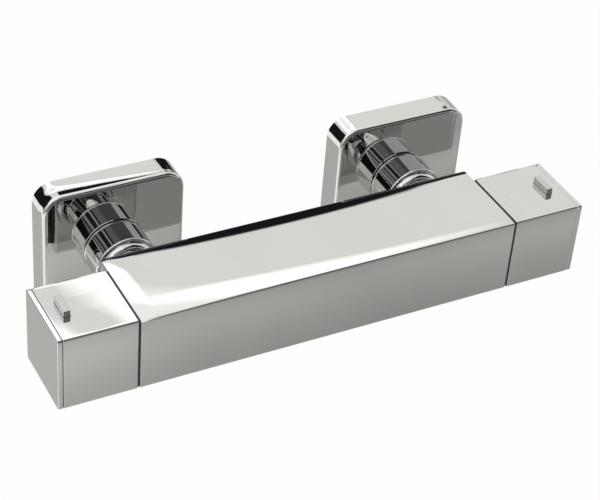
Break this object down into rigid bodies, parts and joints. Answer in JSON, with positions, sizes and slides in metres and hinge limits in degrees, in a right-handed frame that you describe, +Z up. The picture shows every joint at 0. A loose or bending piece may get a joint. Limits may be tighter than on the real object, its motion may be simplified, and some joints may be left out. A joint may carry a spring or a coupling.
{
  "type": "thermostatic bar shower valve",
  "caption": "Wall-mounted square thermostatic bar valve with a cube handle and push button at each end, square wall plates and a hose outlet underneath.",
  "frame": {"origin": "on the finished wall, midway between the centres of the two wall studs", "axes": "+X along the bar from the hot to the cold inlet, +Y into the wall along the studs, +Z up"},
  "size_m": [0.262, 0.1042, 0.069],
  "materials": {
    "chrome_body": "polished chrome on brass, the middle body",
    "chrome_handle": "polished chrome, the handle shells",
    "chrome_cap": "polished chrome, the end caps",
    "chrome_plate": "polished chrome sheet, the wall plates",
    "chrome_nut": "polished chrome, the union nuts",
    "chrome_outlet": "polished chrome, the threaded hose outlet",
    "brass": "plain machined brass",
    "button_grey": "light grey matte plastic, the push buttons",
    "rubber_black": "black rubber seals",
    "foam_grey": "closed-cell foam",
    "ceramic": "ground white ceramic",
    "plastic_white": "white moulded plastic",
    "plastic_blue": "blue moulded plastic",
    "plastic_orange": "orange moulded plastic",
    "plastic_black": "black moulded plastic",
    "spring_steel": "drawn spring steel",
    "screw_steel": "stainless steel",
    "copper": "copper cup of the wax element"
  },
  "bodies": {
    "valve": {"valve_body": "chrome_body", "outlet_nipple": "chrome_outlet", "hot_union": "brass", "cold_union": "brass", "hot_wall_plate": "chrome_plate", "cold_wall_plate": "chrome_plate", "hot_plate_seal": "foam_grey", "cold_plate_seal": "foam_grey", "hot_union_nut": "chrome_nut", "cold_union_nut": "chrome_nut", "hot_filter_washer": "rubber_black", "cold_filter_washer": "rubber_black", "hot_inlet_tail": "chrome_nut", "cold_inlet_tail": "chrome_nut", "inlet_tail_rings": "rubber_black", "hot_check_body": "plastic_white", "cold_check_body": "plastic_white", "hot_check_spring": "spring_steel", "cold_check_spring": "spring_steel", "flow_headpart": "brass", "flow_headpart_ring": "rubber_black", "flow_base_seal": "rubber_black", "fixed_disc": "ceramic", "flow_stop_ring": "plastic_orange", "flow_glide_ring": "plastic_black", "thermostat_housing": "plastic_white", "thermostat_rings": "rubber_black", "thermostat_gland": "brass", "shuttle_spring": "spring_steel", "temperature_stop_ring": "plastic_orange", "temperature_glide_ring": "plastic_black"},
    "flow_control": {"flow_handle": "chrome_handle", "flow_cap": "chrome_cap", "flow_handle_screw": "screw_steel", "flow_adapter": "plastic_white", "flow_spindle": "brass", "flow_spindle_rings": "rubber_black", "flow_spindle_clip": "spring_steel", "moving_disc": "ceramic", "eco_spring": "spring_steel"},
    "eco_push": {"eco_button": "button_grey"},
    "temperature_control": {"temperature_handle": "chrome_handle", "temperature_cap": "chrome_cap", "temperature_handle_screw": "screw_steel", "temperature_adapter": "plastic_white", "temperature_spindle": "brass", "temperature_spindle_rings": "rubber_black", "temperature_spindle_clip": "spring_steel", "safety_spring": "spring_steel"},
    "safety_push": {"safety_button": "button_grey"},
    "thermostat_core": {"mixing_shuttle": "plastic_white", "shuttle_ring": "rubber_black", "wax_element": "copper", "adjusting_nut": "brass", "overload_cup": "screw_steel", "overload_spring": "spring_steel"},
    "hot_poppet": {"hot_check_poppet": "plastic_blue"},
    "cold_poppet": {"cold_check_poppet": "plastic_blue"}
  },
  "joints": [
    {"name": "flow_turn", "type": "hinge", "parent": "valve", "child": "flow_control", "pos_m": [-0.0934, -0.0692, 0.006], "axis": [1, 0, 0], "range_deg": [0, 90]},
    {"name": "eco_press", "type": "slide", "parent": "flow_control", "child": "eco_push", "axis": [0, 0, -1], "range_m": [0, 0.002], "stiffness_N_per_m": 400, "springref_m": -0.002, "deforming": ["eco_spring"]},
    {"name": "temperature_turn", "type": "hinge", "parent": "valve", "child": "temperature_control", "pos_m": [0.0934, -0.0692, 0.006], "axis": [1, 0, 0], "range_deg": [-210, 60]},
    {"name": "safety_press", "type": "slide", "parent": "temperature_control", "child": "safety_push", "axis": [0, 0, -1], "range_m": [0, 0.002], "stiffness_N_per_m": 400, "springref_m": -0.002, "deforming": ["safety_spring"]},
    {"name": "thermostat_slide", "type": "slide", "parent": "valve", "child": "thermostat_core", "axis": [1, 0, 0], "range_m": [-0.0009, 0.0003], "deforming": ["shuttle_spring"]},
    {"name": "hot_poppet_lift", "type": "slide", "parent": "valve", "child": "hot_poppet", "axis": [0, -1, 0], "range_m": [0, 0.0025], "stiffness_N_per_m": 150, "springref_m": -0.001, "deforming": ["hot_check_spring"]},
    {"name": "cold_poppet_lift", "type": "slide", "parent": "valve", "child": "cold_poppet", "axis": [0, -1, 0], "range_m": [0, 0.0025], "stiffness_N_per_m": 150, "springref_m": -0.001, "deforming": ["cold_check_spring"]}
  ],
  "couplings": [
    {"joint": "thermostat_slide", "follows": "temperature_turn", "m_per_rad": 0.00023873}
  ]
}
